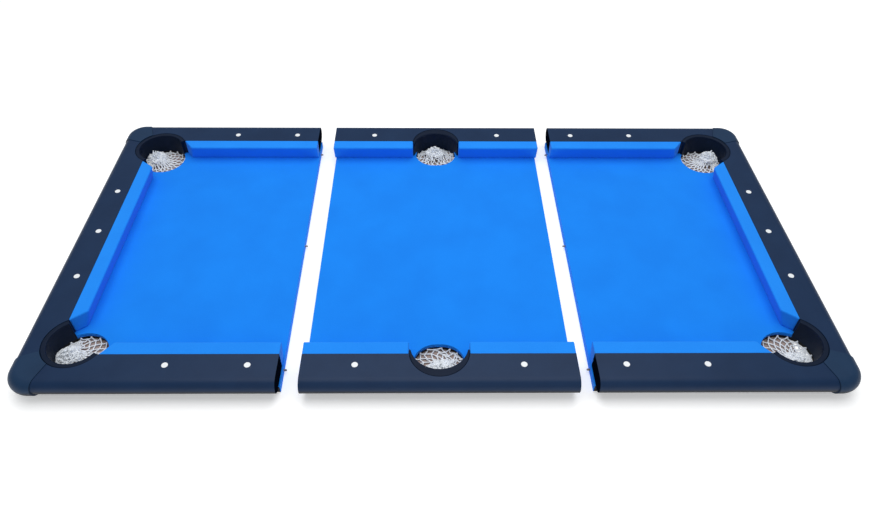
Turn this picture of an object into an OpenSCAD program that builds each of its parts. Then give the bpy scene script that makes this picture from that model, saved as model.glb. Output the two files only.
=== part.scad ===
// Mini pool table top in three sections that lie flat and push together on alignment pins.
// Origin: centre of the whole table's footprint, on the surface that it rests on. +X runs
// along the table, +Y across it to the rear, +Z up. Millimetres.

/* [Table] */
// Length of the closed table over its rails
table_l = 1676; // [1400:1:2200]
// Width of the table over its rails
table_w = 914; // [800:1:1200]
// Length of the middle section along its rails
middle_l = 576; // [480:1:720]
// Gap between the left and the middle section at rest
left_gap = 47; // [12:1:60]
// Gap between the middle and the right section at rest
right_gap = 39; // [12:1:60]

/* [Beds] */
// Thickness of each bed board
board_t = 18; // [14:0.5:25]
// Thickness of the cloth on the beds and the cushions
cloth_t = 1.2; // [0.8:0.1:2]
// Distance from a rail's outer edge in to the board's edge
board_inset = 27; // [22:1:30]
// Radius of the boards' outer corners
board_corner_r = 40; // [25:1:45]
// How far an end section's bed reaches past its rails at the joint
joint_lap = 3; // [1:0.5:5]
// How far the cloth turns down into a pocket hole
cloth_turn = 10; // [5:0.5:12]

/* [Rails] */
// Width of a rail, from the cushion to its outer edge
rail_w = 80; // [66:1:96]
// Height of a rail above the cloth
rail_t = 42; // [34:0.5:52]
// Width of a cushion's flat top, from the rail to the nose
cushion_w = 33; // [27:0.5:42]
// Radius of a cushion's nose
nose_r = 4; // [2.5:0.5:6]
// How far the foot of a cushion's face lies behind its nose
undercut = 10.5; // [7:0.5:14]
// Slant of a cushion's end beside a corner pocket, along the rail
facing_run = 26; // [16:1:34]

/* [Corner caps] */
// Where a cap's seam with a side rail leaves the pocket, in degrees from the table's length
cap_side_seam = 55.5; // [48:0.5:60]
// Where a cap's seam with an end rail leaves the pocket, in degrees from the table's length
cap_end_seam = 22.5; // [18:0.5:34]
// How far both seams lean towards the corner on their way out, in degrees
cap_seam_lean = 19; // [0:1:25]
// Radius of a cap's outer corner, seen from above
cap_corner_r = 50; // [44:1:60]
// How far a cap stands out past the rails' outer edges
cap_proud = 3; // [1:0.5:5]
// How far a cap stands above the rails
cap_rise = 1.2; // [0.4:0.1:3]
// How far a cap reaches below the rails
cap_drop = 3; // [1:0.5:5]
// Wall of a cap
cap_wall = 4; // [3:0.5:6]

/* [Pockets] */
// Radius of a corner pocket's hole
corner_hole_r = 57; // [50:0.5:60]
// Outer radius of a corner liner's rim
corner_rim_r = 67.5; // [65:0.5:72]
// Radius of the rounded ends of a side pocket's hole
side_hole_r = 50; // [44:0.5:51]
// Distance between the centres of those rounded ends
side_hole_spread = 12; // [0:1:16]
// Distance from the nose line out to the side hole's centre
side_hole_set = 26; // [22:0.5:27]
// Radius of the mouth inside a side liner
side_mouth_r = 62; // [58:0.5:64]
// Distance from the nose line out to that mouth's centre
side_mouth_set = 9; // [6:0.5:14]
// Outer radius of a side liner's rim
side_rim_r = 64; // [62:0.5:68]
// Distance from the nose line out to that rim's centre
side_rim_set = 26.5; // [24:0.5:29]
// Distance from the nose line out to the ends of a side liner
side_horn_set = 22; // [16:0.5:26]
// Thickness of a liner's rim
rim_t = 6; // [4:0.5:10]
// Wall of a liner's skirt
liner_wall = 3.5; // [2.5:0.5:5]
// Radius of the rounded edge on a liner's rim
rim_edge_r = 1.8; // [0.8:0.2:2.4]
// Open groove around a liner's rim
rim_groove = 0.8; // [0.4:0.1:1.5]
// Thickness of a net's folded string
net_t = 3; // [2:0.5:5]
// Height of the gathered heap of a net above the surface underneath
heap_h = 32; // [20:1:34]
// Radius of the gathered heap at its foot
heap_r = 36; // [34:1:40]

/* [Sights, pins and screws] */
// Radius of a sight
sight_r = 6.75; // [5:0.25:9]
// Depth of a sight's seat
sight_t = 2; // [1.5:0.5:4]
// Distance from a rail's outer edge in to its sights
sight_inset = 52; // [46:0.5:56]
// Distance from the middle section's centre to each of its sights
middle_sight_x = 175.5; // [150:0.5:200]
// Distance from an end section's rail end to its first sight
end_sight_start = 61.5; // [40:0.5:80]
// Distance between an end section's side rail sights
end_sight_pitch = 169.5; // [140:0.5:190]
// Distance between an end rail's sights
end_rail_sight_pitch = 152.7; // [120:0.5:200]
// Diameter of an alignment pin
pin_d = 5; // [4:0.5:8]
// Length of a pin that stands out of the bed
pin_out = 7; // [5:0.5:10]
// Length of a pin inside its board
pin_in = 25; // [15:1:35]
// Distance between the pins across the table
pin_pitch = 381; // [300:1:390]
// Diameter of a wood screw's shank
screw_d = 4; // [3:0.5:5]
// Depth of a wood screw in a rail
screw_in = 20; // [12:1:26]
// Distance from a rail's outer edge in to its screws
screw_inset = 50; // [44:1:54]

/* [Hidden] */
fit = 0.3; // gap between pieces that meet
pin_fit = 0.3; // radial clearance of a pin in the middle board
over = 1; // how far a cut runs past a face
bed_z = board_t + cloth_t; // top of the cloth
top_z = bed_z + rail_t; // top of the rails
edge_r = rail_t / 2; // rounded outer edge of a rail
half_l = table_l / 2;
half_w = table_w / 2;
rail_x = half_l - rail_w; // where an end rail meets its cushion
rail_y = half_w - rail_w; // where a side rail meets its cushion
nose_x = rail_x - cushion_w;
nose_y = rail_y - cushion_w;
board_x = half_l - board_inset;
board_y = half_w - board_inset;
joint_x = middle_l / 2; // plane where the rails meet when closed
bed_joint_x = joint_x - joint_lap; // plane where the beds meet when closed
middle_x = (left_gap - right_gap) / 2; // keeps the footprint centred on the origin
skirt_r = corner_hole_r + liner_wall;
cap_edge_r = (rail_t + cap_rise + cap_drop) / 2;
side_skirt_r = side_mouth_r + liner_wall;
side_cushion_x = side_rim_r + 2 * fit; // cushion end beside a side pocket
corner_back = sqrt(pow(corner_rim_r + 2 * fit, 2) - pow(cushion_w, 2)); // cushion end at the rail
liner_turn = asin(cushion_w / corner_rim_r); // where a corner liner's ends stop
face_tilt = atan2(undercut - nose_r, rail_t - nose_r)
    + asin(nose_r / norm([undercut - nose_r, rail_t - nose_r]));
nose_steps = 8; // flats around a cushion's nose
pin_z = board_t / 2;
pin_hole_depth = pin_out + 3;
screw_head_r = screw_d;
screw_head_t = screw_d / 2;
$fn = 96;

SIDES = ["left", "right"];
ROWS = ["rear", "front"];
END_NODES = ["bed_board", "bed_cloth", "end_rail", "rear_rail", "front_rail",
    "end_cushion_core", "rear_cushion_core", "front_cushion_core",
    "end_cushion_cloth", "rear_cushion_cloth", "front_cushion_cloth",
    "rear_corner_cap", "front_corner_cap", "rear_pocket_liner", "front_pocket_liner",
    "rear_net", "front_net", "sights", "alignment_pins", "screws"];
MIDDLE_NODES = ["middle_bed_board", "middle_bed_cloth", "middle_rear_rail", "middle_front_rail",
    "middle_rear_left_cushion_core", "middle_rear_right_cushion_core",
    "middle_front_left_cushion_core", "middle_front_right_cushion_core",
    "middle_rear_left_cushion_cloth", "middle_rear_right_cushion_cloth",
    "middle_front_left_cushion_cloth", "middle_front_right_cushion_cloth",
    "middle_rear_pocket_liner", "middle_front_pocket_liner",
    "middle_rear_net", "middle_front_net", "middle_sights", "middle_screws"];

blue = "#2688fa";
black = "#2a3442";

// Places. Every end section is drawn on the +X side of a closed table, and every front
// piece on the rear side, and these put them where they belong.
module on_side(side) {
    if (side == "right") translate([middle_x + right_gap, 0, 0]) children();
    else translate([middle_x - left_gap, 0, 0]) mirror([1, 0, 0]) children();
}

module on_row(row) {
    if (row == "rear") children();
    else mirror([0, 1, 0]) children();
}

module in_middle() {
    translate([middle_x, 0, 0]) children();
}

// Pocket holes through a bed, larger by grow all round.
module corner_hole(grow) {
    translate([nose_x, nose_y]) circle(corner_hole_r + grow);
}

// The step in a bed that a corner liner's skirt stands in.
module corner_liner_step() {
    translate([nose_x, nose_y, bed_z - cloth_turn]) rotate([0, 0, liner_turn - 90.3])
        rotate_extrude(angle = 270.6 - 2 * liner_turn) square([skirt_r + fit, cloth_turn + over]);
}

module side_hole(grow) {
    translate([0, nose_y + side_hole_set]) {
        for (sx = [-1, 1]) translate([sx * side_hole_spread / 2, 0]) circle(side_hole_r + grow);
        square([side_hole_spread, 2 * (side_hole_r + grow)], center = true);
    }
}

// Outline of an end section's bed. The cloth's turn at the joint lies outside the board.
module end_outline(joint_in) {
    x0 = bed_joint_x + joint_in;
    r = board_corner_r;
    translate([x0, -board_y]) square([board_x - r - x0, 2 * board_y]);
    translate([x0, r - board_y]) square([board_x - x0, 2 * (board_y - r)]);
    for (sy = [-1, 1]) translate([board_x - r, sy * (board_y - r)]) circle(r);
}

module middle_outline(joint_in) {
    square([2 * (bed_joint_x - joint_in - fit), 2 * board_y], center = true);
}

// Screws point up from under a board.
module screw(clear) {
    r = screw_d / 2 + clear;
    long = board_t + cloth_t + screw_in;
    rotate_extrude() polygon([[0, 0], [screw_head_r + clear, 0], [r, screw_head_t],
        [r, long - screw_d + clear], [0, long + clear]]);
}

module end_screw_places() {
    for (sy = [-1, 1]) {
        for (i = [0:2]) {
            x = joint_x + 40 + i * (nose_x - corner_rim_r - joint_x - 60) / 2;
            translate([x, sy * (half_w - screw_inset), 0]) children();
        }
        translate([nose_x + 56, sy * (board_y - 14), 0]) children();
        translate([board_x - 14, sy * (nose_y + 52), 0]) children();
        for (k = [0.28, 0.85]) translate([half_l - screw_inset, sy * k * nose_y * 0.75, 0]) children();
    }
}

module middle_screw_places() {
    for (sx = [-1, 1], sy = [-1, 1], x = [joint_x - 40, joint_x - 160])
        translate([sx * x, sy * (half_w - screw_inset), 0]) children();
}

module end_pin_places() {
    for (k = [-1, 0, 1]) translate([bed_joint_x, k * pin_pitch, pin_z]) rotate([0, 90, 0]) children();
}

// Beds.
module end_board() {
    color("#6b5a45") difference() {
        linear_extrude(board_t) difference() {
            end_outline(cloth_t);
            for (row = ROWS) on_row(row) corner_hole(cloth_t);
        }
        for (row = ROWS) on_row(row) corner_liner_step();
        end_screw_places() screw(fit / 2);
        end_pin_places() cylinder(r = pin_d / 2, h = pin_in + cloth_t);
    }
}

module end_cloth() {
    color(blue) difference() {
        union() {
            translate([0, 0, board_t]) linear_extrude(cloth_t) end_outline(0);
            translate([bed_joint_x, -board_y, 0]) cube([cloth_t, 2 * board_y, bed_z]);
            for (row = ROWS) on_row(row) translate([0, 0, bed_z - cloth_turn])
                linear_extrude(cloth_turn) corner_hole(cloth_t);
        }
        for (row = ROWS) on_row(row) translate([0, 0, -over])
            linear_extrude(bed_z + 2 * over) corner_hole(0);
        for (row = ROWS) on_row(row) corner_liner_step();
        end_screw_places() screw(fit / 2);
        end_pin_places() translate([0, 0, -over]) cylinder(r = pin_d / 2, h = pin_in);
    }
}

module middle_board() {
    color("#6b5a45") difference() {
        linear_extrude(board_t) difference() {
            middle_outline(cloth_t);
            for (row = ROWS) on_row(row) side_hole(cloth_t);
        }
        middle_screw_places() screw(fit / 2);
        middle_pin_holes();
    }
}

module middle_cloth() {
    color(blue) difference() {
        union() {
            translate([0, 0, board_t]) linear_extrude(cloth_t) middle_outline(0);
            for (sx = [-1, 1]) translate([sx * (bed_joint_x - fit - cloth_t / 2), 0, bed_z / 2])
                cube([cloth_t, 2 * board_y, bed_z], center = true);
            for (row = ROWS) on_row(row) translate([0, 0, bed_z - cloth_turn])
                linear_extrude(cloth_turn) side_hole(cloth_t);
        }
        for (row = ROWS) on_row(row) translate([0, 0, -over])
            linear_extrude(bed_z + 2 * over) side_hole(0);
        middle_screw_places() screw(fit / 2);
        middle_pin_holes();
    }
}

module middle_pin_holes() {
    for (sx = [-1, 1], k = [-1, 0, 1])
        translate([sx * (bed_joint_x - fit), k * pin_pitch, pin_z]) rotate([0, -90 * sx, 0])
            translate([0, 0, -over]) cylinder(r = pin_d / 2 + pin_fit, h = pin_hole_depth + over);
}

// Rails.
module rail_section() {
    square([rail_w - edge_r, rail_t]);
    translate([rail_w - edge_r, edge_r]) circle(edge_r);
}

module side_bar(x0, x1) {
    translate([x0, rail_y, bed_z]) rotate([90, 0, 90]) linear_extrude(x1 - x0) rail_section();
}

module end_bar(y) {
    translate([rail_x, y, bed_z]) rotate([90, 0, 0]) linear_extrude(2 * y) rail_section();
}

// Seat for a corner liner: its rim lies in a wide shallow step, its skirt in a deeper one.
module corner_liner_cut() {
    translate([nose_x, nose_y, bed_z - cap_drop - over])
        cylinder(r = skirt_r + fit, h = rail_t + cap_drop + cap_rise + 2 * over);
    translate([nose_x, nose_y, top_z - rim_t - fit])
        cylinder(r = corner_rim_r + rim_groove, h = rim_t + cap_rise + over);
}

module side_liner_cut() {
    translate([0, nose_y + side_mouth_set, bed_z - over])
        cylinder(r = side_skirt_r + fit, h = rail_t + 2 * over);
    translate([0, nose_y + side_rim_set, top_z - rim_t - fit])
        cylinder(r = side_rim_r + rim_groove, h = rim_t + over);
}

module sight_seat() {
    cylinder(r = sight_r, h = sight_t + over);
}

// What lies beyond a cap's seams, on the corner's side of each.
module beyond_side_seam(gap) {
    translate([nose_x + (skirt_r + fit) * cos(cap_side_seam), nose_y + (skirt_r + fit) * sin(cap_side_seam)])
        rotate(-cap_seam_lean) translate([-gap, -200]) square([200, 400]);
}

module beyond_end_seam(gap) {
    translate([nose_x + (skirt_r + fit) * cos(cap_end_seam), nose_y + (skirt_r + fit) * sin(cap_end_seam)])
        rotate(cap_seam_lean) translate([-200, -gap]) square([400, 200]);
}

module upright(shape_h = 200) {
    translate([0, 0, -over]) linear_extrude(shape_h) children();
}

module end_rail() {
    color(black) difference() {
        end_bar(half_w);
        for (row = ROWS) on_row(row) {
            corner_liner_cut();
            upright() beyond_end_seam(fit);
        }
        end_screw_places() screw(0);
        end_rail_sight_places() sight_seat();
    }
}

module end_side_rail() {
    color(black) difference() {
        side_bar(joint_x, half_l);
        corner_liner_cut();
        upright() beyond_side_seam(fit);
        end_screw_places() screw(0);
        end_side_sight_places() sight_seat();
    }
}

module middle_rail() {
    color(black) difference() {
        side_bar(-joint_x, joint_x);
        side_liner_cut();
        middle_screw_places() screw(0);
        middle_sight_places() sight_seat();
    }
}

// Corner caps: a moulded shell with rounded edges, and a boss for each screw.
module cap_section(wall) {
    r = cap_edge_r;
    long = cap_corner_r;
    if (wall == 0) square([long - r, 2 * r]);
    else translate([0, -over]) square([long - r, 2 * r - wall + over]);
    translate([long - r, r]) circle(r - wall);
}

module cap_form(x0, y0, wall) {
    cx = half_l + cap_proud - cap_corner_r;
    cy = half_w + cap_proud - cap_corner_r;
    translate([cx, cy, bed_z - cap_drop]) {
        rotate_extrude(angle = 90) cap_section(wall);
        rotate([90, 0, 0]) linear_extrude(cy - y0) cap_section(wall);
        rotate([90, 0, -90]) mirror([1, 0, 0]) linear_extrude(cx - x0) cap_section(wall);
    }
    low = wall == 0 ? 0 : over;
    translate([x0, y0, bed_z - cap_drop - low])
        cube([cx - x0, cy - y0, 2 * cap_edge_r - wall + low]);
}

// A cap, or the hollow in it, between the two seams.
module cap_layer(wall) {
    intersection() {
        cap_form(nose_x + 20, nose_y + 15, wall);
        upright() intersection() {
            beyond_side_seam(-wall);
            beyond_end_seam(-wall);
        }
    }
}

module corner_cap() {
    inner = skirt_r + fit + cap_wall;
    color(black) difference() {
        cap_layer(0);
        corner_liner_cut();
        difference() {
            cap_layer(cap_wall);
            translate([nose_x, nose_y, 0]) {
                cylinder(r = inner, h = top_z);
                translate([0, 0, top_z - rim_t - fit - cap_wall])
                    cylinder(r = corner_rim_r + rim_groove + cap_wall, h = rim_t + cap_wall + over);
            }
            end_screw_places() cylinder(r = screw_d + 1, h = top_z);
        }
        translate([0, 0, -over]) linear_extrude(bed_z + over) offset_outline();
        end_screw_places() screw(0);
    }
}

// The board's outline with a small gap around it.
module offset_outline() {
    r = board_corner_r + fit;
    cx = board_x - board_corner_r;
    cy = board_y - board_corner_r;
    translate([cx, cy]) circle(r);
    translate([0, 0]) square([cx, cy + r]);
    translate([0, 0]) square([cx + r, cy]);
}

// Cushions: a rubber core in a cloth cover. They are drawn with the rail at y = 0 and the
// nose towards -y. Each end is given where it meets the rail and where it meets the nose.
module cushion_section(skin) {
    centre = [nose_r - cushion_w, rail_t - nose_r];
    foot_x = centre.x - (nose_r - skin) / cos(face_tilt) + (centre.y - skin) * tan(face_tilt);
    nose = [for (i = [0:nose_steps]) let (a = 180 + face_tilt - i * (90 + face_tilt) / nose_steps)
        centre + (nose_r - skin) * [cos(a), sin(a)]];
    polygon(concat([[0, skin], [foot_x, skin]], nose, [[0, rail_t - skin]]));
}

module cushion_form(back0, nose0, back1, nose1, skin) {
    in0 = skin * norm([1, (nose0 - back0) / cushion_w]);
    in1 = skin * norm([1, (nose1 - back1) / cushion_w]);
    x0 = min(back0, nose0) - over;
    x1 = max(back1, nose1) + over;
    translate([0, 0, bed_z]) intersection() {
        translate([x0, 0, 0]) rotate([90, 0, 90]) linear_extrude(x1 - x0) cushion_section(skin);
        linear_extrude(rail_t) polygon([[back0 + in0, 0], [nose0 + in0, -cushion_w],
            [nose1 - in1, -cushion_w], [back1 - in1, 0]]);
    }
}

module cushion_layer(back0, nose0, back1, nose1, layer) {
    if (layer == "core") color("#20242a") cushion_form(back0, nose0, back1, nose1, cloth_t);
    else color(blue) difference() {
        cushion_form(back0, nose0, back1, nose1, 0);
        cushion_form(back0, nose0, back1, nose1, cloth_t);
    }
}

module end_side_cushion(layer) {
    back = nose_x - corner_back;
    translate([0, rail_y, 0]) cushion_layer(joint_x, joint_x, back, back - facing_run, layer);
}

module end_cushion(layer) {
    back = nose_y - corner_back;
    nose = back - facing_run;
    translate([rail_x, 0, 0]) rotate([0, 0, -90]) cushion_layer(-back, -nose, back, nose, layer);
}

module middle_cushion(layer) {
    translate([0, rail_y, 0])
        cushion_layer(side_cushion_x, side_cushion_x, joint_x, joint_x, layer);
}

// Pocket liners: a rim with rounded edges on a thin skirt, which reaches as far down into the
// hole as the cloth does.
module rim_section(inner, outer) {
    r = rim_edge_r;
    translate([inner, 0]) square([outer - inner, rim_t - r]);
    translate([inner + r, 0]) square([outer - inner - 2 * r, rim_t]);
    for (x = [inner + r, outer - r]) translate([x, rim_t - r]) circle(r);
}

module corner_liner() {
    color(black) translate([nose_x, nose_y, bed_z]) rotate([0, 0, liner_turn - 90])
        rotate_extrude(angle = 270 - 2 * liner_turn) {
            translate([corner_hole_r, -cloth_turn])
                square([liner_wall, cloth_turn + rail_t - rim_t + fit]);
            translate([0, rail_t - rim_t]) rim_section(corner_hole_r, corner_rim_r);
        }
}

module side_liner() {
    y = nose_y + side_mouth_set;
    color(black) intersection() {
        difference() {
            union() {
                translate([0, y, bed_z]) cylinder(r = side_skirt_r, h = rail_t - rim_t);
                translate([0, 0, bed_z - cloth_turn]) linear_extrude(cloth_turn + over)
                    intersection() {
                        translate([0, y]) circle(side_skirt_r);
                        side_hole(-fit);
                    }
                translate([0, nose_y + side_rim_set, top_z - rim_t])
                    rotate_extrude() rim_section(0, side_rim_r);
            }
            translate([0, y, -over]) cylinder(r = side_mouth_r, h = top_z + 2 * over);
            translate([0, y, top_z - rim_edge_r])
                cylinder(r1 = side_mouth_r, r2 = side_mouth_r + rim_edge_r, h = rim_edge_r + 0.01);
        }
        translate([-joint_x, nose_y + side_horn_set, 0]) cube([2 * joint_x, rail_w, top_z + over]);
    }
}

// Nets: folded up into the hole, with the gathered end in a heap.
module heap(radius, high) {
    ball = (radius * radius + high * high) / (2 * high);
    intersection() {
        translate([0, 0, high - ball]) sphere(ball);
        cylinder(r = radius, h = high);
    }
}

module corner_net() {
    set = (corner_hole_r - fit - heap_r) / sqrt(2) - net_t;
    color("white") union() {
        difference() {
            translate([0, 0, fit]) linear_extrude(bed_z - cloth_turn - 2 * fit) corner_hole(-fit);
            translate([0, 0, fit + net_t]) linear_extrude(bed_z) corner_hole(-fit - net_t);
        }
        translate([nose_x + set, nose_y + set, fit]) heap(heap_r, heap_h);
    }
}

module side_net() {
    set = side_hole_r - fit - heap_r - net_t;
    color("white") union() {
        difference() {
            translate([0, 0, fit]) linear_extrude(bed_z - cloth_turn - 2 * fit) side_hole(-fit);
            translate([0, 0, fit + net_t]) linear_extrude(bed_z) side_hole(-fit - net_t);
        }
        translate([0, nose_y + side_hole_set + set, fit]) heap(heap_r, heap_h);
    }
}

// Sights.
module end_side_sight_places() {
    for (i = [0, 1]) translate([joint_x + end_sight_start + i * end_sight_pitch,
        half_w - sight_inset, top_z - sight_t]) children();
}

module end_rail_sight_places() {
    for (k = [-1, 0, 1])
        translate([half_l - sight_inset, k * end_rail_sight_pitch, top_z - sight_t]) children();
}

module middle_sight_places() {
    for (sx = [-1, 1])
        translate([sx * middle_sight_x, half_w - sight_inset, top_z - sight_t]) children();
}

module sight() {
    color("white") rotate_extrude()
        polygon([[0, 0], [sight_r, 0], [sight_r, sight_t], [sight_r - 0.5, sight_t + 0.4],
            [0, sight_t + 0.4]]);
}

module end_sights() {
    for (row = ROWS) on_row(row) end_side_sight_places() sight();
    end_rail_sight_places() sight();
}

module middle_sights() {
    for (row = ROWS) on_row(row) middle_sight_places() sight();
}

// Alignment pins: a shank with a rounded tip, pressed into an end section's board.
module alignment_pins() {
    r = pin_d / 2;
    color("silver") end_pin_places() {
        translate([0, 0, r - pin_out]) cylinder(r = r, h = pin_out - r + cloth_t + pin_in);
        translate([0, 0, r - pin_out]) sphere(r);
    }
}

module end_screws() {
    color("silver") end_screw_places() screw(0);
}

module middle_screws() {
    color("silver") middle_screw_places() screw(0);
}

module end_node(name) {
    if (name == "bed_board") end_board();
    if (name == "bed_cloth") end_cloth();
    if (name == "end_rail") end_rail();
    if (name == "end_cushion_core") end_cushion("core");
    if (name == "end_cushion_cloth") end_cushion("cloth");
    if (name == "sights") end_sights();
    if (name == "alignment_pins") alignment_pins();
    if (name == "screws") end_screws();
    for (row = ROWS) on_row(row) {
        if (name == str(row, "_rail")) end_side_rail();
        if (name == str(row, "_cushion_core")) end_side_cushion("core");
        if (name == str(row, "_cushion_cloth")) end_side_cushion("cloth");
        if (name == str(row, "_corner_cap")) corner_cap();
        if (name == str(row, "_pocket_liner")) corner_liner();
        if (name == str(row, "_net")) corner_net();
    }
}

module middle_node(name) {
    if (name == "middle_bed_board") middle_board();
    if (name == "middle_bed_cloth") middle_cloth();
    if (name == "middle_sights") middle_sights();
    if (name == "middle_screws") middle_screws();
    for (row = ROWS) on_row(row) {
        if (name == str("middle_", row, "_rail")) middle_rail();
        if (name == str("middle_", row, "_pocket_liner")) side_liner();
        if (name == str("middle_", row, "_net")) side_net();
        for (layer = ["core", "cloth"]) {
            if (name == str("middle_", row, "_right_cushion_", layer)) middle_cushion(layer);
            if (name == str("middle_", row, "_left_cushion_", layer))
                mirror([1, 0, 0]) middle_cushion(layer);
        }
    }
}

for (side = SIDES, n = END_NODES)
    on_side(side) end_node(n);
for (n = MIDDLE_NODES)
    in_middle() middle_node(n);
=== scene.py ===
# %% [markdown]
# # A mini pool table top in three sections
# The table comes apart into a middle third and two end thirds, which lie flat beside each
# other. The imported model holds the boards, rails, caps, liners, sights and pins where they
# belong. Here the cloth, the cushions, the nets and the screws are made as the soft or fine
# things that they are, and everything gets its finish.

# %% Load the frame
import math

import bmesh
import bpy
import numpy as np
from mathutils import Matrix, Vector


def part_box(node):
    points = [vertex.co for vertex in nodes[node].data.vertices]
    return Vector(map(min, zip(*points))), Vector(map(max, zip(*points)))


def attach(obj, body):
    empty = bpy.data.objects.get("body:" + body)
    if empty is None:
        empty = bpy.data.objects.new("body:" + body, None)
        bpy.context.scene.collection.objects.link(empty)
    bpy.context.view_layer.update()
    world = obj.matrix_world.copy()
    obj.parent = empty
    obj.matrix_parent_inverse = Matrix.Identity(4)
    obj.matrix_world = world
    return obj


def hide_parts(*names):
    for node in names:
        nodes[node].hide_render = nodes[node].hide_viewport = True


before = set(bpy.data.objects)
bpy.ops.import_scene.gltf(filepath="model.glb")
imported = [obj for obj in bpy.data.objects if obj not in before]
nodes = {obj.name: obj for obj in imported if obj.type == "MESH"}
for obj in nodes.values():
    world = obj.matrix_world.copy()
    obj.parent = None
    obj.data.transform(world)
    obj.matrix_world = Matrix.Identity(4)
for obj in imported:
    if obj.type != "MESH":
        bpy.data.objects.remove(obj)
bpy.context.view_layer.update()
MM = 0.001

# %% [markdown]
# ## Measures
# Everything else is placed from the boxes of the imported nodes, so that a piece lands where
# the real one sits. The names follow the table: the joint runs across it, the nose is the
# line along which a ball meets a cushion.

# %% Measures from the frame
SECTIONS = {"left": "left_section", "middle": "middle_section", "right": "right_section"}
ROWS = {"rear": 1, "front": -1}


def low(node):
    return Vector(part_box(node)[0])


def high(node):
    return Vector(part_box(node)[1])


middle_x = (low("middle_rear_rail").x + high("middle_rear_rail").x) / 2
rail_top = high("middle_rear_rail").z
cloth_top = low("middle_rear_rail").z
rail_y = low("middle_rear_rail").y
nose_y = low("middle_rear_right_cushion_cloth").y
cushion_w = rail_y - nose_y
cushion_h = rail_top - cloth_top
print(f"rail top {rail_top / MM:.1f} mm, cushion {cushion_w / MM:.1f} by {cushion_h / MM:.1f} mm")

# %% [markdown]
# ## Camera
# The view looks down at about 45 degrees from in front of the middle section, a little to
# the left of its centre, with a wide lens. Its place is given from the middle of the rails'
# top, in metres.

# %% Camera
CAMERA_PLACE = Vector((-0.0288, -1.2707, 1.1792))
CAMERA_DOWN = 0.7921
CAMERA_TURN = -0.019
CAMERA_TILT = 0.0132
CAMERA_LENS = 28.97

camera_data = bpy.data.cameras.new("camera")
camera_data.lens = CAMERA_LENS
camera_data.sensor_width = 36
camera = bpy.data.objects.new("camera", camera_data)
bpy.context.collection.objects.link(camera)
camera.matrix_world = (
    Matrix.Translation(Vector((middle_x, 0, rail_top)) + CAMERA_PLACE)
    @ Matrix.Rotation(CAMERA_TURN, 4, "Z")
    @ Matrix.Rotation(math.pi / 2 - CAMERA_DOWN, 4, "X")
    @ Matrix.Rotation(CAMERA_TILT, 4, "Z")
)
bpy.context.scene.camera = camera
print("camera at", [round(v, 3) for v in camera.matrix_world.translation])

# %% [markdown]
# ## Light and floor
# A product picture is lit by large soft sources that burn the floor out to white. One big
# panel hangs overhead, a weaker one faces the front rails, and a white world fills the rest.

# %% Light and floor
FLOOR_HALF = 6.0
PANELS = {
    "overhead": {"place": (0, 0.3, 2.6), "aim": (0, 0, 0), "size": 3.2, "power": 66},
    "front": {"place": (0, -2.8, 1.5), "aim": (0, 0, 0), "size": 2.2, "power": 7},
}

for name, panel in PANELS.items():
    light = bpy.data.lights.new(name, "AREA")
    light.shape = "SQUARE"
    light.size = panel["size"]
    light.energy = panel["power"]
    lamp = bpy.data.objects.new(name, light)
    lamp.location = panel["place"]
    aim = Vector(panel["aim"]) - Vector(panel["place"])
    lamp.rotation_euler = aim.to_track_quat("-Z", "Y").to_euler()
    bpy.context.collection.objects.link(lamp)

world = bpy.data.worlds.new("studio")
world.use_nodes = True
world.node_tree.nodes["Background"].inputs["Color"].default_value = (0.93, 0.96, 1, 1)
world.node_tree.nodes["Background"].inputs["Strength"].default_value = 0.42
bpy.context.scene.world = world
bpy.context.scene.view_settings.view_transform = "Standard"
print(len(PANELS), "light panels")

# %% [markdown]
# ## Helpers
# Three small helpers serve the whole file: one turns a hex colour into the linear values
# that a shader works in, one starts a material, and one adds a node with its settings and
# links. A last one makes a mesh object from points and faces.


# %% Helpers for materials and meshes
def linear(hex_colour):
    """An sRGB hex colour as linear red, green, blue and alpha."""
    parts = [int(hex_colour[i : i + 2], 16) / 255 for i in (1, 3, 5)]
    return [c / 12.92 if c <= 0.04045 else ((c + 0.055) / 1.055) ** 2.4 for c in parts] + [1]


def add(tree, kind, settings=None, **inputs):
    """Adds a node. An input is a value or another node's output socket."""
    node = tree.nodes.new(kind)
    for key, value in (settings or {}).items():
        setattr(node, key, value)
    for key, value in inputs.items():
        socket = node.inputs[int(key[1:])] if key[0] == "i" and key[1:].isdigit() else None
        socket = socket or node.inputs[key.replace("_", " ")]
        if isinstance(value, bpy.types.NodeSocket):
            tree.links.new(value, socket)
        else:
            socket.default_value = value
    return node


def new_material(name, colour, roughness, **extra):
    """A material with a Principled shader. Returns it, its tree and its shader."""
    material = bpy.data.materials.new(name)
    material.use_nodes = True
    tree = material.node_tree
    shader = tree.nodes["Principled BSDF"]
    shader.inputs["Base Color"].default_value = linear(colour)
    shader.inputs["Roughness"].default_value = roughness
    for key, value in extra.items():
        shader.inputs[key.replace("_", " ")].default_value = value
    material.diffuse_color = linear(colour)
    return material, tree, shader


def blend_colours(tree, factor, colour_a, colour_b):
    """A Mix node's colour output between two hex colours or sockets."""
    mix = add(tree, "ShaderNodeMix", {"data_type": "RGBA"}, Factor=factor)
    for socket, value in ((mix.inputs[6], colour_a), (mix.inputs[7], colour_b)):
        if isinstance(value, str):
            socket.default_value = linear(value)
        else:
            tree.links.new(value, socket)
    return mix.outputs[2]


def make_object(name, points, faces=(), edges=(), smooth=True):
    mesh = bpy.data.meshes.new(name)
    mesh.from_pydata([tuple(p) for p in points], list(edges), list(faces))
    mesh.update()
    if smooth and len(mesh.polygons):
        mesh.polygons.foreach_set("use_smooth", [True] * len(mesh.polygons))
    piece = bpy.data.objects.new(name, mesh)
    bpy.context.collection.objects.link(piece)
    return piece


print("helpers ready")

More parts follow.
